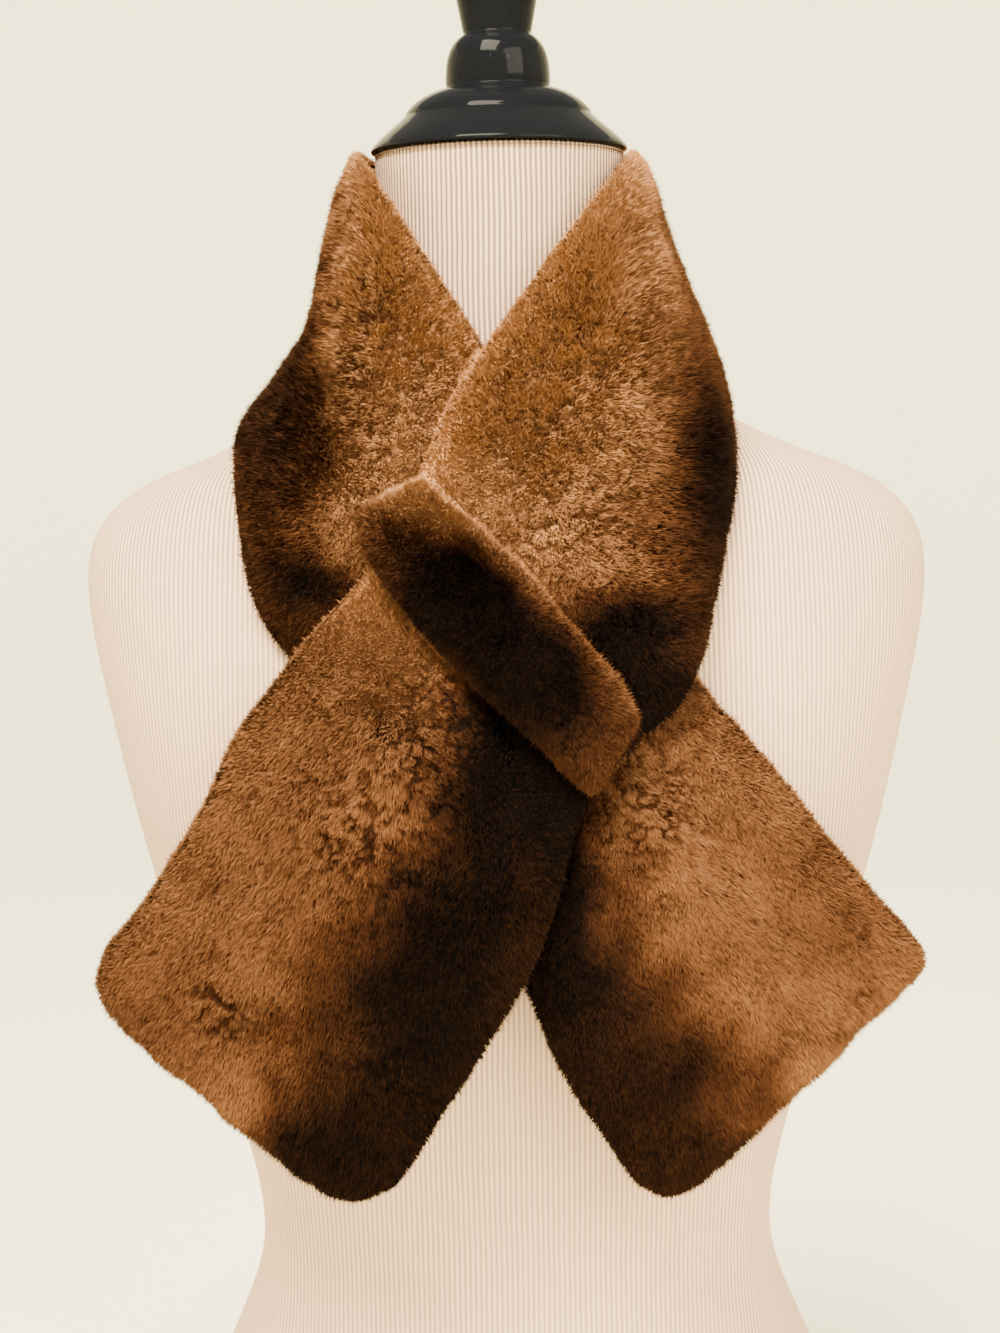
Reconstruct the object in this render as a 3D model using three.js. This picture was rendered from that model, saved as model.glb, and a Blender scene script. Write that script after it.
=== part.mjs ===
// A sheared-fur collar wrap on the limbless dress form that it is worn on.
// The wrap is one long strip of thick two-sided fur. Its middle stands round the back of the neck, and its
// two halves come down over the shoulders and cross on the chest. A short keeper band, sewn to the lower half
// at both ends, holds the upper half where they cross. Both ends hang free as broad tails.
// Millimetres, +Z up, +X to the viewer's right, -Y towards the viewer. The form's underside is at Z = 0.
import * as THREE from "three";

const NECK_TOP = 700; // height of the neck's flat top
const PILE = 15; // thickness of the free strip, fur tip to fur tip
const PRESSED = 8; // thickness of the strip where another layer or the band presses on it
const BAND_PILE = 9; // thickness of the keeper band
const SEAM_GAP = 0.3; // between neighbouring pieces
const FORM_CLEARANCE = 0.9; // between the fur and the dress form
const LAYER_CLEARANCE = 0.7; // between one layer of fur and the next
const RIGHT_CORNERS = { neck: 12, outer: 28 }; // radius of each tail's corners, seen flat
const LEFT_CORNERS = { neck: 26, outer: 32 };
const BAND_CORNERS = { neck: 3, outer: 3 };
const SHOULDER_SEAM = 118; // along the strip, from the centre back to the seam on each shoulder
const LOWER_CROSSING_SEAM = 300; // from the centre back to the lower layer's seam under the crossing
const UPPER_CROSSING_SEAM = 322; // from the centre back to the upper layer's seam under the band
const END_ROUND = 9; // length over which a tail's end rounds off
const BAND_SEWN = 8; // length of each end of the band that is sewn down to the layer below
const ACROSS = 12; // steps across the strip
const STEP = 12; // length of strip between two sections

// The dress form, section by section, from its underside to the top of its neck.
// Each section is a rounded oval with its own depth in front and behind; square 2 is an ellipse.
const FORM_SECTIONS = [
  { z: 0, half: 150, front: 92, back: 104, square: 2.3 },
  { z: 30, half: 156, front: 97, back: 110, square: 2.3 },
  { z: 80, half: 158, front: 101, back: 112, square: 2.3 },
  { z: 140, half: 142, front: 96, back: 101, square: 2.2 },
  { z: 210, half: 118, front: 83, back: 81, square: 2.2 },
  { z: 280, half: 128, front: 93, back: 83, square: 2.3 },
  { z: 340, half: 147, front: 109, back: 90, square: 2.4 },
  { z: 400, half: 162, front: 121, back: 95, square: 2.5 },
  { z: 450, half: 173, front: 115, back: 98, square: 2.6 },
  { z: 500, half: 183, front: 101, back: 98, square: 2.6 },
  { z: 528, half: 184, front: 91, back: 93, square: 2.5 },
  { z: 546, half: 176, front: 84, back: 89, square: 2.4 },
  { z: 560, half: 158, front: 78, back: 86, square: 2.3 },
  { z: 572, half: 128, front: 72, back: 82, square: 2.2 },
  { z: 585, half: 101, front: 66, back: 77, square: 2.1 },
  { z: 605, half: 75, front: 60, back: 69, square: 2.0 },
  { z: 630, half: 60, front: 55, back: 60, square: 2.0 },
  { z: 660, half: 54, front: 53, back: 55, square: 2.0 },
  { z: NECK_TOP, half: 54, front: 54, back: 54, square: 2.0 },
];

// The turned neck cap's outline: radius, and height above the neck's top.
const CAP_OUTLINE = [
  { r: 0, up: SEAM_GAP },
  { r: 55, up: SEAM_GAP },
  { r: 56, up: 1.2 },
  { r: 55.4, up: 2.6 },
  { r: 53.2, up: 5.2 },
  { r: 49.3, up: 8.8 },
  { r: 44, up: 13 },
  { r: 41.2, up: 15.8 },
  { r: 40.4, up: 17 },
  { r: 38.4, up: 20 },
  { r: 33.8, up: 23.8 },
  { r: 27, up: 26.8 },
  { r: 23, up: 27.6 },
  { r: 22.6, up: 28.6 },
  { r: 22.8, up: 33 },
  { r: 22.4, up: 38 },
  { r: 21.4, up: 42.6 },
  { r: 19.2, up: 46.6 },
  { r: 16.2, up: 49.4 },
  { r: 14.8, up: 50.4 },
  { r: 15.2, up: 53 },
  { r: 16.8, up: 61.4 },
  { r: 18.4, up: 70 },
  { r: 20, up: 79 },
  { r: 21.2, up: 87 },
  { r: 20.4, up: 93 },
  { r: 16.4, up: 97.4 },
  { r: 9, up: 99.8 },
  { r: 0, up: 100.6 },
];

// The lower strip, from the centre back over the viewer's left shoulder to the tail at the lower right.
// Each row is one section across the strip: its neck edge, its middle and its outer edge.
const LOWER_STRIP = [
  { neck: [0, 63, 702], mid: [0, 73, 632], outer: [0, 100, 562] },
  { neck: [-37, 52, 702], mid: [-45, 60, 630], outer: [-55, 84, 567] },
  { neck: [-55, 27, 702], mid: [-68, 33, 634], outer: [-82, 49, 580] },
  { neck: [-61, -2, 703], mid: [-72, 2, 642], outer: [-84, 4, 585] },
  { neck: [-56, -29, 697], mid: [-76, -35, 635], outer: [-94, -27, 571] },
  { neck: [-45, -48, 680], mid: [-79, -62, 616], outer: [-109, -48, 566] },
  { neck: [-28, -63, 653], mid: [-70, -84, 590], outer: [-108, -70, 540] },
  { neck: [-6, -76, 618], mid: [-50, -98, 558], outer: [-101, -92, 508] },
  { neck: [22, -93, 567], mid: [-16, -108, 512], outer: [-56, -112, 462] },
  { neck: [50, -108, 522], mid: [14, -118, 466], outer: [-20, -122, 409] },
  { neck: [77, -115, 485], mid: [38, -126, 425], outer: [0, -128, 368] },
  { neck: [104, -116, 453], mid: [60, -128, 389], outer: [15, -129, 332] },
  { neck: [140, -112, 406], mid: [89, -125, 350], outer: [35, -127, 298] },
  { neck: [174, -105, 367], mid: [115, -119, 315], outer: [56, -124, 261] },
];

// The upper strip, from the centre back over the viewer's right shoulder to the tail at the lower left.
const UPPER_STRIP = [
  { neck: [0, 63, 702], mid: [0, 73, 632], outer: [0, 100, 562] },
  { neck: [37, 52, 702], mid: [45, 60, 630], outer: [55, 84, 567] },
  { neck: [54, 27, 702], mid: [66, 33, 634], outer: [82, 49, 581] },
  { neck: [56, -2, 702], mid: [70, 2, 643], outer: [87, 4, 592] },
  { neck: [50, -31, 695], mid: [74, -39, 630], outer: [89, -30, 567] },
  { neck: [40, -50, 681], mid: [71, -68, 610], outer: [88, -58, 541] },
  { neck: [21, -68, 657], mid: [62, -90, 587], outer: [83, -80, 515] },
  { neck: [-3, -84, 625], mid: [45, -106, 558], outer: [75, -96, 493] },
  { neck: [-23, -98, 596], mid: [28, -120, 532], outer: [66, -108, 474] },
  { neck: [-34, -112, 570], mid: [12, -126, 512], outer: [51, -122, 463] },
  { neck: [-51, -124, 536], mid: [-8, -134, 486], outer: [30, -134, 440] },
  { neck: [-83, -127, 502], mid: [-32, -139, 448], outer: [18, -140, 400] },
  { neck: [-108, -126, 470], mid: [-54, -139, 414], outer: [4, -140, 366] },
  { neck: [-126, -122, 436], mid: [-73, -135, 380], outer: [-15, -138, 334] },
  { neck: [-151, -116, 399], mid: [-97, -130, 345], outer: [-36, -134, 300] },
  { neck: [-182, -112, 366], mid: [-121, -125, 313], outer: [-58, -130, 262] },
];

// The keeper band, from the end sewn on at the upper left to the end sewn on at the lower right.
const BAND_STRIP = [
  { neck: [-31, -113, 567], mid: [-46, -111, 560], outer: [-62, -113, 552] },
  { neck: [-20, -122, 558], mid: [-36, -122, 546], outer: [-54, -120, 535] },
  { neck: [7, -134, 533], mid: [-13, -138, 519], outer: [-33, -134, 506] },
  { neck: [28, -136, 508], mid: [8, -140, 496], outer: [-11, -136, 484] },
  { neck: [45, -130, 486], mid: [28, -134, 474], outer: [11, -130, 462] },
  { neck: [50, -124, 473], mid: [40, -124, 458], outer: [31, -124, 443] },
];

// Soft folds, as ridges (height above 0) and troughs: their place along and across the strip, and their reach.
const LOWER_FOLDS = [
  { along: 0.24, across: 0.68, long: 0.06, wide: 0.15, height: -9 },
  { along: 0.28, across: 0.88, long: 0.05, wide: 0.12, height: 5 },
  { along: 0.38, across: 0.5, long: 0.14, wide: 0.09, height: -3.5 },
  { along: 0.4, across: 0.76, long: 0.11, wide: 0.16, height: 4 },
  { along: 0.84, across: 0.26, long: 0.14, wide: 0.06, height: -2.6 },
  { along: 0.82, across: 0.42, long: 0.12, wide: 0.08, height: 3 },
  { along: 0.86, across: 0.6, long: 0.12, wide: 0.07, height: -2.4 },
];
const UPPER_FOLDS = [
  { along: 0.3, across: 0.7, long: 0.12, wide: 0.12, height: 3 },
  { along: 0.46, across: 0.35, long: 0.14, wide: 0.2, height: 3 },
  { along: 0.52, across: 0.82, long: 0.07, wide: 0.14, height: 3 },
  { along: 0.71, across: 0.4, long: 0.05, wide: 0.16, height: 5 },
  { along: 0.78, across: 0.66, long: 0.12, wide: 0.07, height: -5 },
  { along: 0.8, across: 0.86, long: 0.12, wide: 0.1, height: 2.5 },
  { along: 0.88, across: 0.2, long: 0.1, wide: 0.1, height: -1.6 },
];

const FUR_TAN = { color: 0x9c6230, roughness: 0.95, metalness: 0 };
const FUR_DARK = { color: 0x3b2112, roughness: 0.95, metalness: 0 };
const COVER = { color: 0xe9dfdd, roughness: 0.9, metalness: 0 };
const LACQUER = { color: 0x0b0d0e, roughness: 0.12, metalness: 0 };

const clamp = (x, low, high) => Math.min(high, Math.max(low, x));
const bell = (x) => Math.exp(-x * x);
const smoothStep = (x) => {
  const t = clamp(x, 0, 1);
  return t * t * (3 - 2 * t);
};

// A value of a table's column at height z, on a smooth curve through its rows.
function column(rows, name, z) {
  const last = rows.length - 1;
  let i = 0;
  while (i < last - 1 && rows[i + 1].z < z) i += 1;
  const slope = (k) => {
    const a = rows[Math.max(k - 1, 0)];
    const b = rows[Math.min(k + 1, last)];
    return (b[name] - a[name]) / (b.z - a.z);
  };
  const span = rows[i + 1].z - rows[i].z;
  const t = clamp((z - rows[i].z) / span, 0, 1);
  const [a, b] = [rows[i][name], rows[i + 1][name]];
  const [da, db] = [slope(i) * span, slope(i + 1) * span];
  return (
    a * (2 * t ** 3 - 3 * t ** 2 + 1) + da * (t ** 3 - 2 * t ** 2 + t) +
    b * (3 * t ** 2 - 2 * t ** 3) + db * (t ** 3 - t ** 2)
  );
}

// How far out a point is in the form's section at its height: 1 on the form's surface.
function formReach(x, y, z) {
  const height = clamp(z, 0, NECK_TOP);
  const square = column(FORM_SECTIONS, "square", height);
  const depth = column(FORM_SECTIONS, y < 0 ? "front" : "back", height);
  const across = Math.abs(x) / column(FORM_SECTIONS, "half", height);
  return (across ** square + (Math.abs(y) / depth) ** square) ** (1 / square);
}

// The distance from a point to the form, and the direction straight away from the form.
function awayFromForm(p) {
  const h = 0.5;
  const away = new THREE.Vector3(
    formReach(p.x + h, p.y, p.z) - formReach(p.x - h, p.y, p.z),
    formReach(p.x, p.y + h, p.z) - formReach(p.x, p.y - h, p.z),
    formReach(p.x, p.y, p.z + h) - formReach(p.x, p.y, p.z - h),
  ).divideScalar(2 * h);
  const steepness = Math.max(away.length(), 1e-4);
  return { distance: (formReach(p.x, p.y, p.z) - 1) / steepness, away: away.divideScalar(steepness) };
}

// One closed body from rings of points that follow each other; the first and last rings are its ends.
// A ring runs along its outer face, back along its inner face, and each end is closed between the two.
function bodyFromRings(rings, mirrored) {
  const size = rings[0].length;
  const half = size / 2;
  const positions = rings.flat().flatMap((p) => [p.x, p.y, p.z]);
  const faces = [];
  const quad = (a, b, c, d) => faces.push(a, b, c, a, c, d);
  for (let i = 0; i + 1 < rings.length; i += 1) {
    for (let j = 0; j < size; j += 1) {
      const next = (j + 1) % size;
      quad(i * size + j, i * size + next, (i + 1) * size + next, (i + 1) * size + j);
    }
  }
  const close = (start, flip) => {
    for (let j = 0; j < half; j += 1) {
      const corners = [start + j, start + ((size - j) % size), start + size - j - 1, start + j + 1];
      const [first, ...others] = corners.filter((corner, k) => corner !== corners[(k + 1) % 4]);
      const [a, b, c] = flip ? others.reverse() : others;
      if (c === undefined) faces.push(first, a, b);
      else quad(first, a, b, c);
    }
  };
  close(0, false);
  close((rings.length - 1) * size, true);
  for (let k = 0; mirrored && k < faces.length; k += 3) {
    [faces[k + 1], faces[k + 2]] = [faces[k + 2], faces[k + 1]];
  }
  const geometry = new THREE.BufferGeometry();
  geometry.setAttribute("position", new THREE.Float32BufferAttribute(positions, 3));
  geometry.setIndex(faces);
  geometry.computeVertexNormals();
  return geometry;
}

function named(name, geometry, finish) {
  const mesh = new THREE.Mesh(geometry, new THREE.MeshStandardMaterial(finish));
  mesh.name = name;
  return mesh;
}

// The form's body: horizontal sections, closer together over the shoulders.
function dressForm() {
  const around = 40;
  const heights = [];
  FORM_SECTIONS.forEach((row, i) => {
    heights.push(row.z);
    const next = FORM_SECTIONS[i + 1];
    if (next && next.z - row.z > 12) heights.push((row.z + next.z) / 2);
  });
  const rings = heights.map((z) => {
    const half = column(FORM_SECTIONS, "half", z);
    const power = 2 / column(FORM_SECTIONS, "square", z);
    return Array.from({ length: around }, (_, k) => {
      const angle = (2 * Math.PI * k) / around;
      const [c, s] = [Math.cos(angle), Math.sin(angle)];
      const depth = column(FORM_SECTIONS, s < 0 ? "front" : "back", z);
      return new THREE.Vector3(
        half * Math.sign(c) * Math.abs(c) ** power, depth * Math.sign(s) * Math.abs(s) ** power, z,
      );
    });
  });
  return bodyFromRings(rings, false);
}

function neckCap() {
  const outline = CAP_OUTLINE.map(({ r, up }) => new THREE.Vector2(r, NECK_TOP + up));
  return new THREE.LatheGeometry(outline, 36).rotateX(Math.PI / 2);
}

// The highest outer surface of the layers laid so far, seen from the front, as a map of small square cells.
class LayerMap {
  constructor() {
    this.cell = 3;
    this.heights = new Map();
  }

  key(x, z) {
    return `${Math.round(x / this.cell)},${Math.round(z / this.cell)}`;
  }

  add(outer) {
    const parts = 5;
    for (let i = 0; i + 1 < outer.length; i += 1) {
      for (let j = 0; j + 1 < outer[i].length; j += 1) {
        for (let a = 0; a <= parts; a += 1) {
          const [near, far] = [outer[i][j].clone(), outer[i][j + 1].clone()];
          near.lerp(outer[i + 1][j], a / parts);
          far.lerp(outer[i + 1][j + 1], a / parts);
          for (let b = 0; b <= parts; b += 1) {
            const p = near.clone().lerp(far, b / parts);
            if (p.y > 0) continue;
            const at = this.key(p.x, p.z);
            this.heights.set(at, Math.max(this.heights.get(at) ?? -Infinity, -p.y));
          }
        }
      }
    }
  }

  // The highest surface within one cell of a point.
  over(p) {
    let highest = -Infinity;
    for (const dx of [-1, 0, 1]) {
      for (const dz of [-1, 0, 1]) {
        const found = this.heights.get(this.key(p.x + dx * this.cell, p.z + dz * this.cell));
        if (found !== undefined) highest = Math.max(highest, found);
      }
    }
    return highest;
  }
}

// The smooth middle surface that a table of sections describes.
class Strip {
  constructor(table) {
    const curve = (name) =>
      new THREE.CatmullRomCurve3(table.map((row) => new THREE.Vector3(...row[name])), false, "centripetal");
    [this.neck, this.mid, this.outer] = [curve("neck"), curve("mid"), curve("outer")];
    this.length = this.mid.getLength();
  }

  // The share of the curves' own run at which the middle line is this far along.
  shareAt(distance) {
    return this.mid.getUtoTmapping(clamp(distance / this.length, 0, 1));
  }

  point(distance, across) {
    const t = this.shareAt(distance);
    const [a, b, c] = [this.neck.getPoint(t), this.mid.getPoint(t), this.outer.getPoint(t)];
    const v = across;
    a.multiplyScalar((1 - v) * (1 - 2 * v));
    return a.addScaledVector(b, 4 * v * (1 - v)).addScaledVector(c, v * (2 * v - 1));
  }
}

// Distances along a strip at which it has a section: even steps from seam to seam, closer at a rounded end.
function sectionPlaces(length, seams, roundStart, roundEnd) {
  const bounds = [roundStart, ...seams, length - roundEnd];
  const places = roundStart ? [0, 0.06, 0.2, 0.5].map((e) => e * roundStart) : [];
  bounds.slice(1).forEach((stop, k) => {
    const start = bounds[k];
    const steps = Math.max(1, Math.round((stop - start) / STEP));
    for (let i = 0; i < steps; i += 1) places.push(start + ((stop - start) * i) / steps);
  });
  return [...places, ...[0, 0.35, 0.62, 0.82, 0.94, 1].map((e) => length - roundEnd + e * roundEnd)];
}

// How far in a rounded corner of this radius cuts, this far from the strip's end.
const cornerCut = (radius, toEnd) =>
  (toEnd < radius ? radius - Math.sqrt(radius ** 2 - (radius - toEnd) ** 2) : 0);

// The share of the thickness that is left this far from an end that rounds off over a length.
const endShare = (toEnd, round) => (toEnd < round ? Math.sqrt(1 - (1 - toEnd / round) ** 2) : 1);

const gridLike = (rows, make) => rows.map((row, i) => row.map((_, j) => make(i, j)));

// The directions straight out of a grid of points, away from the form.
function normalsOf(points, side) {
  const [lastRow, lastColumn] = [points.length - 1, ACROSS];
  return gridLike(points, (i, j) => {
    const along = points[Math.min(i + 1, lastRow)][j].clone().sub(points[Math.max(i - 1, 0)][j]);
    const over = points[i][Math.min(j + 1, lastColumn)].clone().sub(points[i][Math.max(j - 1, 0)]);
    return over.cross(along).normalize().multiplyScalar(side);
  });
}

// Moves every shift some way to the mean of its neighbours, so that the cloth bends softly.
function softened(shifts) {
  return gridLike(shifts, (i, j) => {
    const around = [shifts[i - 1]?.[j], shifts[i + 1]?.[j], shifts[i][j - 1], shifts[i][j + 1]];
    const near = around.filter(Boolean);
    const mean = near.reduce((sum, shift) => sum.add(shift), new THREE.Vector3()).divideScalar(near.length);
    return shifts[i][j].clone().lerp(mean, 0.6);
  });
}

// Moves a strip's middle surface out until its inner face clears the form and the layers below, softly.
function settled(points, thick, side, below, softenings) {
  let shifts = gridLike(points, () => new THREE.Vector3());
  const moved = () => gridLike(points, (i, j) => points[i][j].clone().add(shifts[i][j]));
  const pushOut = () => {
    const now = moved();
    const normals = normalsOf(now, side);
    shifts = gridLike(points, (i, j) => {
      const shift = shifts[i][j].clone();
      const inner = now[i][j].clone().addScaledVector(normals[i][j], -thick[i][j] / 2);
      const { distance, away } = awayFromForm(inner);
      shift.addScaledVector(away, Math.max(0, FORM_CLEARANCE - distance));
      const lack = below && inner.y < 0 ? below.over(inner) + LAYER_CLEARANCE + inner.y : 0;
      shift.y -= Math.max(0, lack);
      return shift;
    });
  };
  for (let round = 0; round < 14; round += 1) {
    pushOut();
    for (let k = 0; k < softenings; k += 1) shifts = softened(shifts);
  }
  for (let round = 0; round < 6; round += 1) pushOut();
  return moved();
}

// Lays a strip over the form and over the layers below it, and gives its outer face and its sections.
// thickness(along) is the full thickness there, before the edges and ends round off.
// side is 1 where the outer edge lies left of the way that the strip runs, seen from outside, or else -1.
function layStrip({
  table, side, thickness, ends, corners, seams = [], folds = [], below, sewnDown, softenings = 3,
}) {
  const strip = new Strip(table);
  const { length } = strip;
  const places = sectionPlaces(length, seams, ends.start, ends.end);
  const shares = Array.from({ length: ACROSS + 1 }, (_, j) => 0.5 - 0.5 * Math.cos((Math.PI * j) / ACROSS));
  const middle = places.map((distance) => {
    const width = strip.point(distance, 0).distanceTo(strip.point(distance, 1));
    const toEnd = length - distance;
    const [low, high] = [cornerCut(corners.neck, toEnd), cornerCut(corners.outer, toEnd)];
    return shares.map((share) => strip.point(distance, low / width + share * (1 - (low + high) / width)));
  });
  const thick = places.map((distance) => {
    const rounding = endShare(distance, ends.start) * endShare(length - distance, ends.end);
    const full = thickness(distance / length) * rounding;
    return shares.map((share) => full * Math.sqrt(1 - Math.abs(2 * share - 1) ** 5));
  });
  const flat = normalsOf(middle, side);
  const folded = gridLike(middle, (i, j) => {
    const heights = folds.map(({ along, across, long, wide, height }) =>
      height * bell((places[i] / length - along) / long) * bell((shares[j] - across) / wide));
    const lift = heights.reduce((sum, height) => sum + height, 0);
    return middle[i][j].clone().addScaledVector(flat[i][j], lift);
  });
  const laid = settled(folded, thick, side, below, softenings);
  const normals = normalsOf(laid, side);
  const face = (way) => gridLike(laid, (i, j) =>
    laid[i][j].clone().addScaledVector(normals[i][j], (way * thick[i][j]) / 2));
  const [outer, inner] = [face(1), face(-1)];
  if (sewnDown) {
    places.forEach((distance, i) => {
      if (Math.min(distance, length - distance) > sewnDown) return;
      for (const p of inner[i].slice(1, ACROSS)) p.y = Math.max(p.y, -below.over(p) - SEAM_GAP);
    });
  }
  const rings = outer.map((row, i) => [...row, ...inner[i].slice(1, ACROSS).reverse()]);
  const cutBack = (ring, next) =>
    ring.map((p, k) => p.clone().lerp(next[k], SEAM_GAP / 2 / p.distanceTo(next[k])));
  const stretch = (from = 0, to = length) => {
    const part = rings.slice(places.indexOf(from), places.indexOf(to) + 1);
    const last = part.length - 1;
    if (from > 0) part[0] = cutBack(part[0], part[1]);
    if (to < length) part[last] = cutBack(part[last], part[last - 1]);
    return part;
  };
  return { outer, stretch };
}

// The strip is pressed thin where the band and the crossing hold it, and full elsewhere.
const pressedAt = (centre, reach) => (along) =>
  PILE - (PILE - PRESSED) * smoothStep(1.6 - Math.abs(along - centre) / reach);

function furWrap() {
  const tail = { start: 0, end: END_ROUND };
  const lower = layStrip({
    table: LOWER_STRIP, folds: LOWER_FOLDS, seams: [SHOULDER_SEAM, LOWER_CROSSING_SEAM],
    thickness: pressedAt(0.6, 0.1), side: 1, ends: tail, corners: RIGHT_CORNERS,
  });
  const map = new LayerMap();
  map.add(lower.outer);
  const upper = layStrip({
    table: UPPER_STRIP, folds: UPPER_FOLDS, seams: [SHOULDER_SEAM, UPPER_CROSSING_SEAM],
    thickness: pressedAt(0.62, 0.06), side: -1, ends: tail, corners: LEFT_CORNERS, below: map,
  });
  map.add(upper.outer);
  const band = layStrip({
    table: BAND_STRIP, thickness: () => BAND_PILE, side: 1, ends: { start: 5, end: 5 },
    corners: BAND_CORNERS, below: map, sewnDown: BAND_SEWN, softenings: 1,
  });
  const back = [
    ...lower.stretch(0, SHOULDER_SEAM).reverse(),
    ...upper.stretch(0, SHOULDER_SEAM).slice(1),
  ];
  return [
    named("collar_back", bodyFromRings(back, true), FUR_TAN),
    named("left_front", bodyFromRings(lower.stretch(SHOULDER_SEAM, LOWER_CROSSING_SEAM), false), FUR_TAN),
    named("right_tail", bodyFromRings(lower.stretch(LOWER_CROSSING_SEAM), false), FUR_TAN),
    named("right_front", bodyFromRings(upper.stretch(SHOULDER_SEAM, UPPER_CROSSING_SEAM), true), FUR_TAN),
    named("left_tail", bodyFromRings(upper.stretch(UPPER_CROSSING_SEAM), true), FUR_TAN),
    named("keeper_band", bodyFromRings(band.stretch(), false), FUR_DARK),
  ];
}

const wrapOnForm = new THREE.Group();
wrapOnForm.add(named("form_body", dressForm(), COVER), named("neck_cap", neckCap(), LACQUER), ...furWrap());

export default wrapOnForm;
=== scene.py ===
"""The looks of a sheared-fur collar wrap and of the dress form that wears it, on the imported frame.

Each stretch of the wrap is a hide, grown in from its solid, with a dense pile of leaning tufts that reaches the
solid's own surface. The form gets a ribbed knit cover, and its neck a glossy turned cap. Metres, +Z up.
"""

import math

import bmesh
import bpy
import numpy as np
from mathutils import Matrix, Vector, kdtree, noise
from mathutils.bvhtree import BVHTree


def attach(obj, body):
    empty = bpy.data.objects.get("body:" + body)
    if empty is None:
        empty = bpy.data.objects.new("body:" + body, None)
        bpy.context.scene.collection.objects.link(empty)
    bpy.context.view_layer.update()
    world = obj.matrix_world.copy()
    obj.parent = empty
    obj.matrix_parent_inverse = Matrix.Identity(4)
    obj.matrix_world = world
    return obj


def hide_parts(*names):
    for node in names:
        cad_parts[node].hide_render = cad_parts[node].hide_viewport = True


bl_info = {
    "name": "Fur collar wrap",
    "version": (1, 0, 0),
    "blender": (4, 5, 0),
    "location": "3D View > Sidebar > Fur wrap",
    "description": "Builds a fur collar wrap on its dress form, piece by piece",
    "category": "Object",
}

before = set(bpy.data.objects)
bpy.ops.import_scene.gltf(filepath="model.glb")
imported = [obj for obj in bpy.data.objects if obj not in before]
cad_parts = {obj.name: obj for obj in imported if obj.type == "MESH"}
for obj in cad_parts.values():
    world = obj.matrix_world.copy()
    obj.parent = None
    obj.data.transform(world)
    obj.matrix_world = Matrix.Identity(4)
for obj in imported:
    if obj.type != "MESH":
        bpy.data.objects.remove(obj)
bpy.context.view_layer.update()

# The edges of the strip's two halves, from the centre back to the end of each tail, in millimetres.
HALVES = {
    "lower": {
        "neck": [(0, 63, 702), (-37, 52, 702), (-55, 27, 702), (-61, -2, 703), (-56, -29, 697), (-45, -48, 680),
                 (-28, -63, 653), (-6, -76, 618), (22, -93, 567), (50, -108, 522), (77, -115, 485), (104, -116, 453),
                 (140, -112, 406), (174, -105, 367)],
        "outer": [(0, 100, 562), (-55, 84, 567), (-82, 49, 580), (-84, 4, 585), (-94, -27, 571), (-109, -48, 566),
                  (-108, -70, 540), (-101, -92, 508), (-56, -112, 462), (-20, -122, 409), (0, -128, 368),
                  (15, -129, 332), (35, -127, 298), (56, -124, 261)],
    },
    "upper": {
        "neck": [(0, 63, 702), (37, 52, 702), (54, 27, 702), (56, -2, 702), (50, -31, 695), (40, -50, 681),
                 (21, -68, 657), (-3, -84, 625), (-23, -98, 596), (-34, -112, 570), (-51, -124, 536),
                 (-83, -127, 502), (-108, -126, 470), (-126, -122, 436), (-151, -116, 399), (-182, -112, 366)],
        "outer": [(0, 100, 562), (55, 84, 567), (82, 49, 581), (87, 4, 592), (89, -30, 567), (88, -58, 541),
                  (83, -80, 515), (75, -96, 493), (66, -108, 474), (51, -122, 463), (30, -134, 440), (18, -140, 400),
                  (4, -140, 366), (-15, -138, 334), (-36, -134, 300), (-58, -130, 262)],
    },
    "band": {
        "neck": [(-31, -113, 567), (-20, -122, 558), (7, -134, 533), (28, -136, 508), (45, -130, 486),
                 (50, -124, 473)],
        "outer": [(-62, -113, 552), (-54, -120, 535), (-33, -134, 506), (-11, -136, 484), (11, -130, 462),
                  (31, -124, 443)],
    },
}

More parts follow.
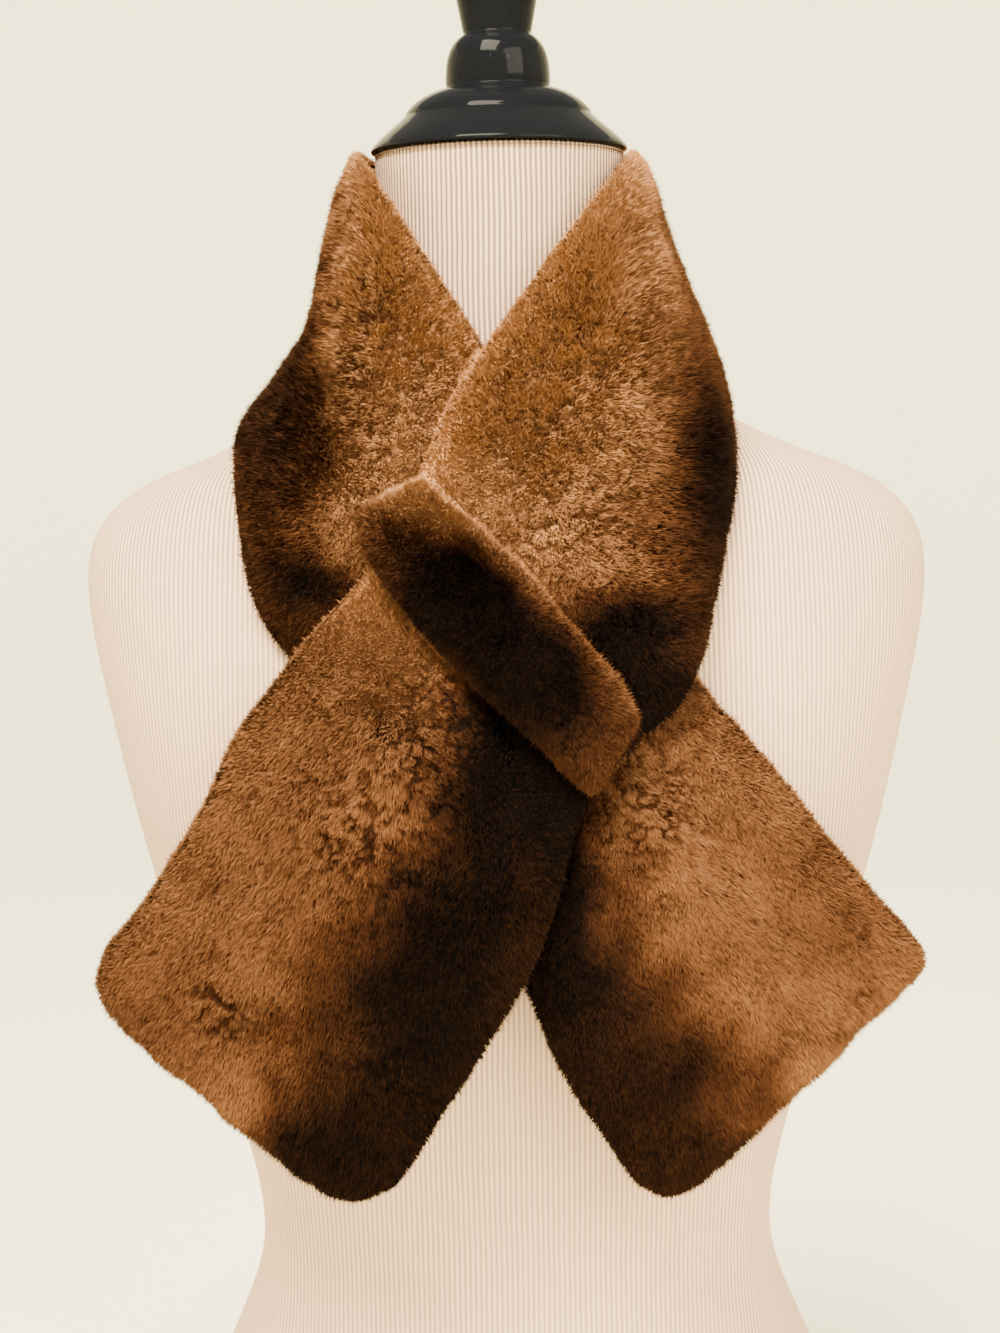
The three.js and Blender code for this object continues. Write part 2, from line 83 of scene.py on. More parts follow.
# Where each half turns dark: its share of the width from the neck edge, and how dark it gets there.
DARK_FROM = {
    "lower": [
        {"along": 0.0, "turn": 0.55, "deep": 0.8}, {"along": 0.22, "turn": 0.2, "deep": 0.45},
        {"along": 0.3, "turn": 0.22, "deep": 0.5}, {"along": 0.345, "turn": 0.31, "deep": 0.6},
        {"along": 0.38, "turn": 0.4, "deep": 0.9}, {"along": 0.41, "turn": 0.44, "deep": 1.0},
        {"along": 0.46, "turn": 0.48, "deep": 1.0}, {"along": 0.52, "turn": 0.6, "deep": 1.0},
        {"along": 0.58, "turn": 0.72, "deep": 1.0}, {"along": 0.66, "turn": 0.6, "deep": 1.0},
        {"along": 0.74, "turn": 0.53, "deep": 1.0}, {"along": 0.8, "turn": 0.65, "deep": 1.0},
        {"along": 0.84, "turn": 0.66, "deep": 1.0}, {"along": 0.89, "turn": 0.61, "deep": 0.95},
        {"along": 1.0, "turn": 0.58, "deep": 0.85},
    ],
    "upper": [
        {"along": 0.0, "turn": 0.55, "deep": 0.8}, {"along": 0.22, "turn": 0.2, "deep": 0.5},
        {"along": 0.28, "turn": 0.3, "deep": 0.55}, {"along": 0.34, "turn": 0.42, "deep": 0.8},
        {"along": 0.39, "turn": 0.54, "deep": 1.0}, {"along": 0.45, "turn": 0.6, "deep": 1.0},
        {"along": 0.53, "turn": 0.63, "deep": 1.0}, {"along": 0.62, "turn": 0.57, "deep": 1.0},
        {"along": 0.68, "turn": 0.53, "deep": 1.0}, {"along": 0.75, "turn": 0.59, "deep": 0.95},
        {"along": 0.88, "turn": 0.54, "deep": 0.9}, {"along": 0.95, "turn": 0.6, "deep": 0.95},
        {"along": 1.0, "turn": 0.66, "deep": 0.95},
    ],
    "band": [
        {"along": 0.0, "turn": 0.52, "deep": 0.75}, {"along": 0.2, "turn": 0.4, "deep": 0.9},
        {"along": 0.32, "turn": 0.27, "deep": 1.0}, {"along": 0.6, "turn": 0.27, "deep": 1.0},
        {"along": 0.75, "turn": 0.36, "deep": 0.75}, {"along": 0.88, "turn": 0.3, "deep": 0.5},
        {"along": 1.0, "turn": 0.25, "deep": 0.45},
    ],
}

# Patches where the pile is darker or paler than that, in millimetres across the front, one of them a painted shadow.
PATCHES = [
    {"on": "collar_back", "x": -82, "z": 648, "wide": 14, "high": 34, "dark": 0.2},
    {"on": "collar_back", "x": -66, "z": 692, "wide": 12, "high": 24, "dark": 0.14},
    {"on": "collar_back", "x": 70, "z": 662, "wide": 12, "high": 30, "dark": 0.14},
    {"on": "left_front", "x": -82, "z": 648, "wide": 12, "high": 34, "dark": 0.2},
    {"on": "left_front", "x": -70, "z": 692, "wide": 11, "high": 24, "dark": 0.14},
    {"on": "left_front", "x": -42, "z": 615, "wide": 30, "high": 60, "dark": -0.13},
    # A painted shadow, near black, low on the left front.
    {"on": "left_front", "x": -78, "z": 524, "wide": 17, "high": 10, "dark": 0.35},
    {"on": "left_front", "x": -98, "z": 590, "wide": 16, "high": 34, "dark": 0.14},
    {"on": "left_front", "x": -80, "z": 545, "wide": 9, "high": 7, "dark": -0.16},
    {"on": "right_tail", "x": 19, "z": 392, "wide": 14, "high": 30, "dark": -0.08},
    {"on": "right_tail", "x": 130, "z": 395, "wide": 40, "high": 40, "dark": 0.1},
    {"on": "right_tail", "x": 19, "z": 394, "wide": 12, "high": 30, "dark": 0.35},
    {"on": "right_tail", "x": 60, "z": 330, "wide": 20, "high": 24, "dark": 0.04},
    {"on": "right_front", "x": 66, "z": 478, "wide": 24, "high": 22, "dark": 0.3},
    {"on": "right_front", "x": 76, "z": 662, "wide": 9, "high": 30, "dark": 0.14},
    {"on": "right_front", "x": 22, "z": 600, "wide": 34, "high": 70, "dark": -0.1},
    {"on": "right_front", "x": 48, "z": 509, "wide": 22, "high": 13, "dark": 0.4},
    {"on": "right_front", "x": 86, "z": 566, "wide": 13, "high": 46, "dark": 0.3},
    {"on": "right_front", "x": 61, "z": 613, "wide": 9, "high": 13, "dark": 0.18},
    {"on": "right_front", "x": 68, "z": 498, "wide": 13, "high": 12, "dark": -0.14},
    {"on": "left_tail", "x": -11, "z": 501, "wide": 11, "high": 12, "dark": 0.35},
    {"on": "left_tail", "x": -28, "z": 365, "wide": 18, "high": 34, "dark": 0.16},
    {"on": "left_tail", "x": -80, "z": 430, "wide": 40, "high": 60, "dark": 0.04},
    {"on": "left_tail", "x": -150, "z": 345, "wide": 40, "high": 40, "dark": 0.13},
    {"on": "left_tail", "x": -60, "z": 370, "wide": 40, "high": 34, "dark": 0.07},
    {"on": "left_tail", "x": 6, "z": 458, "wide": 18, "high": 34, "dark": 0.3},
    {"on": "left_tail", "x": -8, "z": 415, "wide": 6, "high": 24, "dark": 0.2},
    {"on": "left_tail", "x": 6, "z": 425, "wide": 9, "high": 14, "dark": -0.1},
    {"on": "left_tail", "x": -66, "z": 300, "wide": 34, "high": 22, "dark": 0.08},
    {"on": "keeper_band", "x": 20, "z": 492, "wide": 22, "high": 24, "dark": 0.13},
    {"on": "keeper_band", "x": 6, "z": 520, "wide": 40, "high": 26, "dark": 0.1},
    {"on": "keeper_band", "x": -16, "z": 522, "wide": 24, "high": 22, "dark": 0.5},
    {"on": "keeper_band", "x": 3, "z": 500, "wide": 16, "high": 17, "dark": 0.4},
]

# Places where the pile parts in cracks, in millimetres across the front.
PARTINGS = [
    {"on": "left_front", "x": -44, "z": 606, "wide": 20, "high": 42, "much": 1.1},
    {"on": "right_front", "x": 24, "z": 584, "wide": 27, "high": 42, "much": 0.85},
    {"on": "right_front", "x": 14, "z": 545, "wide": 22, "high": 18, "much": 0.6},
    {"on": "left_tail", "x": -30, "z": 476, "wide": 22, "high": 22, "much": 0.95},
    {"on": "left_tail", "x": -58, "z": 430, "wide": 30, "high": 26, "much": 0.5},
    {"on": "left_tail", "x": -118, "z": 356, "wide": 12, "high": 10, "much": 0.8},
    {"on": "right_tail", "x": 52, "z": 440, "wide": 20, "high": 26, "much": 0.5},
]

# The main creases, along lines on the wrap's surface in millimetres: ridges up, troughs down.
CREASES = [
    {"on": "left_front", "line": [(-62, -30, 690), (-71, -48, 655), (-72, -66, 634)], "wide": 6, "up": -2.6},
    {"on": "left_front", "line": [(-68, -78, 622), (-65, -90, 596), (-63, -98, 572)], "wide": 7, "up": 2.4},
    {"on": "left_front", "line": [(-78, -74, 616), (-75, -86, 590), (-74, -95, 562)], "wide": 6, "up": -2.2},
    {"on": "left_front", "line": [(-60, -52, 668), (-50, -60, 664), (-40, -64, 655)], "wide": 5, "up": -1.4},
    {"on": "left_front", "line": [(-86, -98, 560), (-80, -103, 545), (-76, -106, 530)], "wide": 6, "up": -1.6},
    {"on": "right_front", "line": [(60, -50, 672), (66, -70, 640), (66, -92, 604)], "wide": 8, "up": 1.6},
    {"on": "right_front", "line": [(50, -62, 666), (52, -82, 634), (48, -100, 600)], "wide": 9, "up": -1.5},
    {"on": "right_front", "line": [(72, -100, 580), (62, -112, 554), (50, -124, 530)], "wide": 8, "up": -1.6},
    {"on": "right_front", "line": [(34, -112, 568), (30, -122, 546), (20, -130, 528)], "wide": 8, "up": 1.2},
    {"on": "left_tail", "line": [(-36, -137, 498), (-21, -142, 480), (-20, -145, 456), (-26, -146, 410)], "wide": 7,
     "up": 2.2},
    {"on": "left_tail", "line": [(-16, -139, 500), (-4, -142, 482), (-2, -145, 456), (-12, -144, 400)], "wide": 6,
     "up": -2.6},
    {"on": "left_tail", "line": [(-52, -137, 490), (-48, -143, 462), (-60, -144, 430)], "wide": 9, "up": -1.4},
    {"on": "left_tail", "line": [(4, -142, 450), (0, -143, 425), (-8, -143, 396)], "wide": 8, "up": 1.4},
    {"on": "left_tail", "line": [(-122, -128, 372), (-116, -130, 352), (-106, -132, 336)], "wide": 6, "up": -1.6},
    {"on": "left_tail", "line": [(-90, -132, 430), (-98, -134, 396), (-92, -136, 350)], "wide": 12, "up": 1.2},
    {"on": "right_tail", "line": [(54, -124, 464), (60, -128, 430), (72, -130, 390)], "wide": 8, "up": 1.8},
    {"on": "right_tail", "line": [(72, -122, 456), (84, -126, 410), (90, -128, 360)], "wide": 8, "up": -1.6},
    {"on": "right_tail", "line": [(88, -120, 442), (106, -122, 396), (112, -124, 352)], "wide": 8, "up": -1.8},
    {"on": "right_tail", "line": [(80, -124, 430), (96, -126, 390), (102, -127, 352)], "wide": 8, "up": 1.3},
    {"on": "right_tail", "line": [(30, -132, 430), (38, -135, 400), (56, -134, 366)], "wide": 9, "up": -1.2},
    {"on": "collar_back", "line": [(-30, 88, 640), (-34, 92, 610), (-30, 98, 580)], "wide": 9, "up": -1.8},
    {"on": "collar_back", "line": [(18, 88, 650), (24, 94, 612), (20, 100, 580)], "wide": 9, "up": 1.6},
    {"on": "collar_back", "line": [(46, 72, 650), (56, 78, 612), (58, 84, 582)], "wide": 8, "up": -1.6},
]

# The wrap's pieces: how they were cut, in metres, what they lie on, and how many tufts their pile has.
FUR_PIECES = {
    "collar_back": {"halves": ("lower", "upper"), "flat": (0.15, 0.236), "on": ("form_body",), "tufts": 120000},
    "left_front": {"halves": ("lower",), "flat": (0.15, 0.182), "on": ("form_body",), "tufts": 120000},
    "right_tail": {"halves": ("lower",), "flat": (0.15, 0.264), "on": ("form_body",), "tufts": 160000},
    "right_front": {"halves": ("upper",), "flat": (0.155, 0.204), "on": ("left_front",), "tufts": 150000},
    "left_tail": {"halves": ("upper",), "flat": (0.155, 0.243), "on": ("right_tail",), "tufts": 175000},
    "keeper_band": {"halves": ("band",), "flat": (0.046, 0.15), "on": ("left_tail",), "tufts": 62000},
}

# The form's sections, from its underside to the top of its neck, in millimetres.
FORM_SECTIONS = [
    {"z": 0, "half": 150, "front": 92, "back": 104, "square": 2.3},
    {"z": 30, "half": 156, "front": 97, "back": 110, "square": 2.3},
    {"z": 80, "half": 158, "front": 101, "back": 112, "square": 2.3},
    {"z": 140, "half": 142, "front": 96, "back": 101, "square": 2.2},
    {"z": 210, "half": 118, "front": 83, "back": 81, "square": 2.2},
    {"z": 280, "half": 128, "front": 93, "back": 83, "square": 2.3},
    {"z": 340, "half": 147, "front": 109, "back": 90, "square": 2.4},
    {"z": 400, "half": 162, "front": 121, "back": 95, "square": 2.5},
    {"z": 450, "half": 173, "front": 115, "back": 98, "square": 2.6},
    {"z": 500, "half": 183, "front": 101, "back": 98, "square": 2.6},
    {"z": 528, "half": 184, "front": 91, "back": 93, "square": 2.5},
    {"z": 546, "half": 176, "front": 84, "back": 89, "square": 2.4},
    {"z": 560, "half": 158, "front": 78, "back": 86, "square": 2.3},
    {"z": 572, "half": 128, "front": 72, "back": 82, "square": 2.2},
    {"z": 585, "half": 101, "front": 66, "back": 77, "square": 2.1},
    {"z": 605, "half": 75, "front": 60, "back": 69, "square": 2.0},
    {"z": 630, "half": 60, "front": 55, "back": 60, "square": 2.0},
    {"z": 660, "half": 54, "front": 53, "back": 55, "square": 2.0},
    {"z": 700, "half": 54, "front": 54, "back": 54, "square": 2.0},
]

# The turned cap's outline: radius and height above the form's neck, in millimetres.
CAP_OUTLINE = [
    (0, 0.3), (54, 0.3), (55.6, 0.5), (56, 1.2), (55.9, 2), (55, 3.2), (53.2, 5.2), (49.3, 8.8), (44.4, 12.8),
    (41.6, 15.2), (40.9, 15.9), (40.7, 16.6), (40.2, 17.6), (38.4, 20), (33.8, 23.8), (27, 26.6), (23.2, 27.4),
    (22.7, 27.7), (22.5, 28.4), (22.8, 29.4), (22.8, 33), (22.4, 38), (21.4, 42.6), (19.2, 46.6), (16.2, 49.4),
    (15, 50), (14.7, 50.6), (15, 51.6), (15.4, 54), (16.8, 61.4), (18.4, 70), (20, 79), (21.2, 87), (20.4, 93),
    (16.4, 97.4), (9, 99.8), (0, 100.6),
]

# The fur's colour by its darkness, from the palest tan to nearly black.
FUR_TONES = [
    (0.0, (0.5, 0.23, 0.088)), (0.2, (0.37, 0.168, 0.068)), (0.42, (0.17, 0.071, 0.027)),
    (0.6, (0.072, 0.026, 0.009)), (0.8, (0.027, 0.0098, 0.0036)), (1.0, (0.0025, 0.0012, 0.0008)),
]
# The knit's colour from its pale ribs to its dark grooves, the dark end being painted shade.
KNIT_TONES = [(0.0, (0.52, 0.36, 0.25)), (0.5, (0.27, 0.18, 0.126)), (1.0, (0.1, 0.064, 0.046))]

# The darkness of the pale side, how much the tails add to it, and how much more the dark side has.
PALE_SIDE, TAIL_ADDS, DARK_SIDE = 0.13, 0.24, 0.56
# How much paler the pile is painted along the neck edge, as a painted highlight where the edge rolls over into the
# light.
NECK_EDGE_PAINTED_HIGHLIGHT = {"lower": 0.06, "upper": 0.14, "band": 0.06}
# A crease's height in the table, divided by this, is its height in metres.
CREASE_SCALE = 520

# How far a tuft leans, in metres: with the lay of the pile, with its fine clump, with its clump, and by chance.
LEAN_LAY, LEAN_TUFT, LEAN_CLUMP, LEAN_CHANCE = 0.0011, 0.0003, 0.0002, 0.0004
# What a crack does: the share of the pile's depth it takes, how far its sides draw apart, how much painted shade
# darkens its tufts' tips, and how much darker its tufts are painted, as shade in the crack.
CRACK_DEPTH, CRACK_PULL, CRACK_SHADE, CRACK_PAINTED_DARKNESS = 0.5, 0.0006, 0.75, 0.5
# How far the clumps' edges wander, which makes the cracks uneven, and the share of tufts that stand out.
WANDER, STANDING_OUT = 0.0022, 0.22
# The share of its pile that a face needs where something is this near in front of it, in metres.
PILE_BEHIND = [(0.012, 0.07), (0.05, 0.3)]
# Two stretches' faces that lie nearer than this and face each other are a seam.
SEAM_GAP = 0.00045

NECK_TOP = FORM_SECTIONS[-1]["z"]
# From this height up the form's rows of faces are closer together, in millimetres.
CLOSE_ROWS_FROM = 540
STITCH_HEIGHT = 0.0013

# The camera: its place, its angles in degrees, and its focal length and the picture's height in pixels.
CAMERA_PLACE = (-0.0035, -0.9, 0.603)
CAMERA_DOWN, CAMERA_ROLL = 8.1, 1.0
FOCAL_LENGTH, PICTURE_HEIGHT, SENSOR = 2016, 1333, 36


class PileSettings(bpy.types.PropertyGroup):
    depth: bpy.props.FloatProperty(
        name="Pile depth", description="Height of the pile over the hide", default=0.005, unit="LENGTH")
    hide_share: bpy.props.FloatProperty(
        name="Pressed pile", description="The most of the local thickness that the pile takes", default=0.36)
    hair: bpy.props.FloatProperty(
        name="Hair width", description="Width of a tuft of hairs at its root", default=0.00085, unit="LENGTH")
    spacing: bpy.props.FloatProperty(
        name="Spacing", description="Smallest distance between tufts", default=0.00036, unit="LENGTH")
    guard: bpy.props.FloatProperty(
        name="Longer hairs", description="How far the longest hairs stand out of the pile", default=0.0019,
        unit="LENGTH")
    lean: bpy.props.FloatProperty(
        name="Lean", description="How far the tufts lean over", default=1.5)
    tuft: bpy.props.FloatProperty(
        name="Fine clumps", description="Size of the fine clumps of the whole pile", default=0.0024, unit="LENGTH")
    clump: bpy.props.FloatProperty(
        name="Clumps", description="Size of the clumps that the pile parts into", default=0.0052, unit="LENGTH")
    crack: bpy.props.FloatProperty(
        name="Crack width", description="Width of the cracks between clumps", default=0.0018, unit="LENGTH")
    swell: bpy.props.FloatProperty(
        name="Swell", description="Height of the soft unevenness of the whole surface", default=0.0018, unit="LENGTH")
    seed: bpy.props.IntProperty(name="Seed", description="Seed of the pile's unevenness", default=7)


class CoverSettings(bpy.types.PropertyGroup):
    around: bpy.props.IntProperty(name="Around", description="Faces round the form", default=144)
    step: bpy.props.FloatProperty(
        name="Step", description="Height of a row of faces", default=0.0058, unit="LENGTH")
    rib: bpy.props.FloatProperty(
        name="Rib pitch", description="Distance between two ribs of the knit", default=0.00225, unit="LENGTH")


class CapSettings(bpy.types.PropertyGroup):
    around: bpy.props.IntProperty(name="Around", description="Faces round the cap before smoothing", default=56)


class StageSettings(bpy.types.PropertyGroup):
    radius: bpy.props.FloatProperty(
        name="Stage radius", description="Radius of the floor and its upturned edge", default=3.2, unit="LENGTH")
    key: bpy.props.FloatProperty(name="Key light", description="Power of the main soft light", default=440.0)
    fill: bpy.props.FloatProperty(name="Fill light", description="Power of the soft light opposite", default=170.0)


# ---- shared helpers


def smooth(x):
    t = np.clip(x, 0, 1)
    return t * t * (3 - 2 * t)


def unit(vectors):
    return vectors / np.maximum(np.linalg.norm(vectors, axis=1, keepdims=True), 1e-12)


def coordinates(mesh):
    flat = np.empty(len(mesh.vertices) * 3)
    mesh.vertices.foreach_get("co", flat)
    return flat.reshape(-1, 3)


def edit(obj, *steps):
    """Runs edit-mode steps on one object with everything selected."""
    bpy.ops.object.select_all(action="DESELECT")
    obj.select_set(True)
    bpy.context.view_layer.objects.active = obj
    bpy.ops.object.mode_set(mode="EDIT")
    bpy.ops.mesh.select_all(action="SELECT")
    for step in steps:
        step()
    bpy.ops.object.mode_set(mode="OBJECT")


def apply_modifier(obj, kind, **values):
    bpy.ops.object.select_all(action="DESELECT")
    obj.select_set(True)
    bpy.context.view_layer.objects.active = obj
    modifier = obj.modifiers.new(kind.title(), kind)
    for name, value in values.items():
        setattr(modifier, name, value)
    bpy.ops.object.modifier_apply(modifier=modifier.name)


def wrapped_grid(name, around, rows, place, uv=None):
    """A grid whose sides meet, shaped in edit mode: place(turn, row) gives each point, turn from 0 to 1."""
    bpy.ops.object.select_all(action="DESELECT")
    bpy.ops.mesh.primitive_grid_add(x_subdivisions=around, y_subdivisions=rows, size=1)
    obj = bpy.context.active_object
    obj.name = obj.data.name = name

    def shape():
        bm = bmesh.from_edit_mesh(obj.data)
        layer = bm.loops.layers.uv.active
        where = {v: (v.co.x + 0.5, round((v.co.y + 0.5) * rows)) for v in bm.verts}
        for face in bm.faces:
            for loop in face.loops:
                loop[layer].uv = uv(*where[loop.vert]) if uv else loop[layer].uv
        for v, (turn, row) in where.items():
            v.co = place(turn, row)
        bmesh.update_edit_mesh(obj.data)

    edit(
        obj, shape,
        lambda: bpy.ops.mesh.remove_doubles(threshold=1e-6),
        lambda: bpy.ops.mesh.normals_make_consistent(inside=False),
    )
    bpy.ops.object.shade_smooth()
    return obj


class Shader:
    """A material's node tree, built a node at a time."""

    def __init__(self, name):
        self.material = bpy.data.materials.new(name)
        self.material.use_nodes = True
        self.tree = self.material.node_tree
        self.surface = self.tree.nodes["Principled BSDF"]

    def node(self, kind, inputs=None, **values):
        made = self.tree.nodes.new("ShaderNode" + kind)
        for key, value in values.items():
            setattr(made, key, value)
        for key, value in (inputs or {}).items():
            self.feed(made.inputs[key], value)
        return made

    def feed(self, socket, value):
        if isinstance(value, bpy.types.NodeSocket):
            self.tree.links.new(value, socket)
        else:
            socket.default_value = value

    def math(self, operation, a, b=0.0, clamp=False):
        return self.node("Math", {0: a, 1: b}, operation=operation, use_clamp=clamp).outputs[0]

    def ramp(self, factor, stops):
        made = self.node("ValToRGB", {"Fac": factor})
        elements = made.color_ramp.elements
        while len(elements) < len(stops):
            elements.new(0.5)
        for element, (position, colour) in zip(elements, stops):
            element.position = position
            element.color = (*colour, 1)
        return made.outputs["Color"]

    def finish(self, **inputs):
        for key, value in inputs.items():
            self.feed(self.surface.inputs[key.replace("_", " ")], value)
        return self.material


# ---- the fur


def along_line(points, line):
    """Each point's distance to a line of points, and its share of the way along it."""
    line = np.array(line, float) / 1000
    best = np.full(len(points), np.inf)
    share = np.zeros(len(points))
    for k, (a, b) in enumerate(zip(line, line[1:])):
        t = np.clip((points - a) @ (b - a) / ((b - a) @ (b - a)), 0, 1)
        distance = np.linalg.norm(points - a - t[:, None] * (b - a), axis=1)
        nearer = distance < best
        best[nearer] = distance[nearer]
        share[nearer] = (k + t[nearer]) / (len(line) - 1)
    return best, share


def field(points, size, seed):
    """Soft noise at each point, about -1 to 1."""
    offset = Vector((seed * 3.7, seed * 1.3, seed * 2.1))
    return np.array([noise.noise(Vector(p) / size + offset) for p in points])


def curve_at(rows, key, shares):
    return np.interp(shares, [row["along"] for row in rows], [row[key] for row in rows])


def blot(rows, node, points, key):
    """The sum of a table's soft spots at each point."""
    total = np.zeros(len(points))
    for row in rows:
        if row["on"] == node:
            reach = ((points[:, 0] * 1000 - row["x"]) / row["wide"]) ** 2
            total += row[key] * np.exp(-reach - ((points[:, 2] * 1000 - row["z"]) / row["high"]) ** 2)
    return total


def darkness(node, points):
    """How dark the fur is at each point, 0 on the pale side and 1 where it is nearly black."""
    result = np.zeros(len(points))
    warp = 0.09 * field(points, 0.03, 1) + 0.06 * field(points, 0.013, 2)
    for half in FUR_PIECES[node]["halves"]:
        side = np.full(len(points), True)
        if node == "collar_back":
            side = points[:, 0] < 0 if half == "lower" else points[:, 0] >= 0
        to_neck, share_neck = along_line(points, HALVES[half]["neck"])
        to_outer, share_outer = along_line(points, HALVES[half]["outer"])
        across = to_neck / (to_neck + to_outer)
        along = (share_neck + share_outer) / 2
        turn = curve_at(DARK_FROM[half], "turn", along)
        deep = curve_at(DARK_FROM[half], "deep", along)
        tail = smooth((along - 0.55) / 0.15)
        value = PALE_SIDE + TAIL_ADDS * tail + DARK_SIDE * deep * smooth((across + warp - turn + 0.17) / 0.34)
        # A painted highlight along the neck edge.
        value -= NECK_EDGE_PAINTED_HIGHLIGHT[half] * smooth(along / 0.1 - 2) * (1 - tail) * smooth(1 - across / 0.16)
        result[side] = value[side]
    result += blot(PATCHES, node, points, "dark") + 0.2 * warp
    return np.clip(result, 0, 1)


def creased(node, points):
    """How far the creases lift or sink each point."""
    lift = np.zeros(len(points))
    for crease in CREASES:
        if crease["on"] == node:
            distance, share = along_line(points, crease["line"])
            fade = smooth(share * 4) * smooth((1 - share) * 4)
            lift += crease["up"] / CREASE_SCALE * fade * np.exp(-((distance * 1000 / crease["wide"]) ** 2))
    return lift


def fur_material():
    shader = Shader("fur_pile")
    pile = shader.node("Attribute", attribute_name="pile")
    dark, painted_pile_shade, chance = shader.node("SeparateXYZ", {0: pile.outputs["Vector"]}).outputs
    place = shader.node("TexCoord").outputs["Object"]
    mottle = shader.node("TexNoise", {"Vector": place, "Scale": 260.0, "Detail": 3.0}).outputs["Fac"]
    blotch = shader.node("TexNoise", {"Vector": place, "Scale": 95.0, "Detail": 2.0}).outputs["Fac"]
    grain = shader.math("ADD", shader.math("MULTIPLY", dark, 0.2), 0.03)
    uneven = shader.math("MULTIPLY", shader.math("SUBTRACT", chance, 0.5), grain)
    spotted = shader.math("MULTIPLY", shader.math("SUBTRACT", mottle, 0.5), 0.1)
    clouded = shader.math("MULTIPLY", shader.math("SUBTRACT", blotch, 0.5), 0.05)
    tone = shader.math("ADD", shader.math("ADD", dark, uneven), shader.math("ADD", spotted, clouded), clamp=True)
    colour = shader.ramp(tone, FUR_TONES)
    # Painted shade deep in the pile: the colour darkens towards the tufts' feet, and at their tips in cracks and at
    # fine clumps' edges.
    depth = shader.math("ADD", shader.math("MULTIPLY", painted_pile_shade, 0.6), 0.5)
    shaded = shader.node("VectorMath", {0: colour, 1: depth}, operation="MULTIPLY").outputs[0]
    lie = shader.node("Attribute", attribute_name="lie")
    turned = shader.node(
        "VectorTransform", {0: lie.outputs["Vector"]}, vector_type="NORMAL", convert_from="OBJECT",
        convert_to="WORLD").outputs[0]
    own = shader.node("NewGeometry").outputs["Normal"]
    blend = shader.node("Mix", {"Factor": 0.22, 4: turned, 5: own}, data_type="VECTOR").outputs[1]
    soft = shader.node("VectorMath", {0: blend}, operation="NORMALIZE").outputs[0]
    return shader.finish(Base_Color=shaded, Roughness=0.7, Normal=soft, Specular_IOR_Level=0.03)


def open_copy(node):
    """The solid's mesh without the faces that meet the next stretch of the strip, smoothed and subdivided."""
    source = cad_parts[node]
    surface = bpy.data.objects.new(node + "_hide", source.data.copy())
    bpy.context.scene.collection.objects.link(surface)
    surface.data.materials.clear()
    edit(surface, lambda: bpy.ops.mesh.remove_doubles(threshold=1e-5))
    others = [solid_tree(other) for other in FUR_PIECES if other != node]

    def drop_seams():
        bm = bmesh.from_edit_mesh(surface.data)
        for face in bm.faces:
            centre = face.calc_center_median()
            face.select_set(False)
            for tree in others:
                found, normal, _index, _distance = tree.find_nearest(centre, SEAM_GAP)
                if found is not None and normal.dot(face.normal) < -0.8:
                    face.select_set(True)
        bmesh.update_edit_mesh(surface.data)
        if any(face.select for face in bm.faces):
            bpy.ops.mesh.delete(type="FACE")

    edit(
        surface, lambda: bpy.ops.mesh.select_mode(type="FACE"), drop_seams,
        lambda: bpy.ops.mesh.select_all(action="SELECT"),
        lambda: bpy.ops.mesh.tris_convert_to_quads(face_threshold=math.pi, shape_threshold=math.pi),
    )
    apply_modifier(surface, "SUBSURF", levels=2)
    tree = solid_tree(node)
    places = coordinates(surface.data)
    kept = np.array([tree.find_nearest(Vector(place))[0][:] for place in places])
    surface.data.vertices.foreach_set("co", (places + 0.85 * (kept - places)).reshape(-1))
    surface.data.update()
    bpy.ops.object.shade_smooth()
    return surface


def solid_tree(node):
    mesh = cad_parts[node].data
    mesh.calc_loop_triangles()
    return BVHTree.FromPolygons(
        [v.co for v in mesh.vertices], [t.vertices[:] for t in mesh.loop_triangles], all_triangles=True)


def pile_depth(surface, settings):
    """The pile's depth at each point: less where the strip is pressed thin."""
    mesh = surface.data
    tree = BVHTree.FromObject(surface, bpy.context.evaluated_depsgraph_get())
    depth = np.full(len(mesh.vertices), settings.depth)
    for vertex in mesh.vertices:
        inward = -vertex.normal
        _hit, _normal, _index, through = tree.ray_cast(vertex.co + inward * 0.0006, inward, 0.05)
        if through is not None:
            depth[vertex.index] = min(settings.depth, settings.hide_share * through)
    edges = np.array([e.vertices[:] for e in mesh.edges])
    for _round in range(2):
        least = depth.copy()
        np.minimum.at(least, edges[:, 0], depth[edges[:, 1]])
        np.minimum.at(least, edges[:, 1], depth[edges[:, 0]])
        depth = least
    for _round in range(4):
        total, count = depth.copy(), np.ones(len(depth))
        for a, b in ((0, 1), (1, 0)):
            np.add.at(total, edges[:, a], depth[edges[:, b]])
            np.add.at(count, edges[:, a], 1)
        depth = total / count
    return depth


def shown_share(centres, normals, node):
    """How much pile each face needs: all of it in the open, and little where it faces the form or another layer."""
    trees = [solid_tree(other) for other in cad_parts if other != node]
    share = np.ones(len(centres))
    for k, (centre, normal) in enumerate(zip(centres, normals)):
        start, way = Vector(centre), Vector(normal)
        nearest = min((tree.ray_cast(start, way, 0.06)[3] or 1.0) for tree in trees)
        share[k] = next((part for reach, part in PILE_BEHIND if nearest <= reach), 1.0)
    return share


def spread(points, size):
    """Indices of points that keep about this distance, one for each cell of a grid."""
    cells = np.floor(points / size).astype(np.int64)
    return np.sort(np.unique(cells, axis=0, return_index=True)[1])


